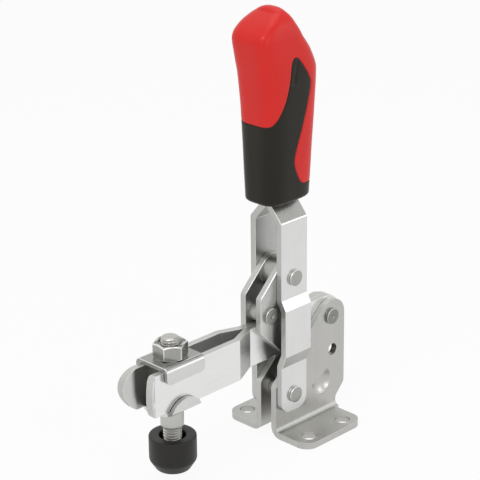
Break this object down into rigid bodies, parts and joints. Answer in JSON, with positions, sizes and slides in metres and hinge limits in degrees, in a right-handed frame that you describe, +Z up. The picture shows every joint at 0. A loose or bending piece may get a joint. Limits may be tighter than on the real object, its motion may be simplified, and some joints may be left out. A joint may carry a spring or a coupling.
{
  "type": "toggle clamp",
  "caption": "Vertical toggle clamp with a horizontal base, open clamping arm, adjustable screw with elastic pressure cap and an upright moulded grip.",
  "frame": {"origin": "centre of the four base holes on the underside of the base", "axes": "+X along the clamping arm, +Y to the left side of the clamp, +Z up from the base to the grip"},
  "size_m": [0.1217, 0.05, 0.1946],
  "materials": {
    "plated_steel": "bright zinc-plated pressed sheet, satin",
    "rivet_steel": "bright zinc-plated turned steel",
    "screw_steel": "darker plated threaded steel",
    "grip_red": "hard moulded plastic, satin gloss",
    "grip_black": "soft moulded plastic, matt",
    "cap_rubber": "elastic rubber, matt"
  },
  "bodies": {
    "base": {"base_plate_left": "plated_steel", "base_plate_right": "plated_steel", "arm_pivot_rivet": "rivet_steel", "arm_pivot_bush": "rivet_steel", "base_spacer_tube": "rivet_steel"},
    "handle": {"handle_plate_left": "plated_steel", "handle_plate_right": "plated_steel", "handle_pivot_rivet": "rivet_steel", "handle_link_rivet_left": "rivet_steel", "handle_link_rivet_right": "rivet_steel", "grip_core": "grip_red", "grip_cover": "grip_black"},
    "link": {"link_plate_left": "plated_steel", "link_plate_right": "plated_steel", "link_top_pin": "rivet_steel", "link_top_spacer": "rivet_steel", "stop_rivet": "rivet_steel", "stop_tube": "rivet_steel", "link_arm_rivet_left": "rivet_steel", "link_arm_rivet_right": "rivet_steel"},
    "arm": {"arm_plate_left": "plated_steel", "arm_plate_right": "plated_steel", "link_arm_bush": "rivet_steel"},
    "screw_set": {"saddle_washer": "plated_steel", "ear_washer": "plated_steel", "clamp_nut": "screw_steel", "screw_collar": "screw_steel"},
    "screw": {"clamp_screw": "screw_steel", "pressure_cap": "cap_rubber"}
  },
  "joints": [
    {"name": "handle_pivot", "type": "hinge", "parent": "base", "child": "handle", "pos_m": [0.01, 0, 0.02], "axis": [0, -1, 0], "range_deg": [0, 58]},
    {"name": "arm_pivot", "type": "hinge", "parent": "base", "child": "arm", "pos_m": [-0.0173, 0, 0.0478], "axis": [0, -1, 0], "range_deg": [0, 105]},
    {"name": "link_pivot", "type": "hinge", "parent": "arm", "child": "link", "pos_m": [0.01, 0, 0.0475], "axis": [0, -1, 0], "range_deg": [0, 47.5]},
    {"name": "screw_slide", "type": "slide", "parent": "arm", "child": "screw_set", "axis": [1, 0, 0], "range_m": [-0.021, 0.005]},
    {"name": "screw_height", "type": "slide", "parent": "screw_set", "child": "screw", "axis": [0, 0, 1], "range_m": [-0.0025, 0.004]}
  ],
  "couplings": [
    {"joint": "arm_pivot", "follows": "handle_pivot", "ratio": 1.8061},
    {"joint": "link_pivot", "follows": "handle_pivot", "ratio": 0.8147}
  ]
}
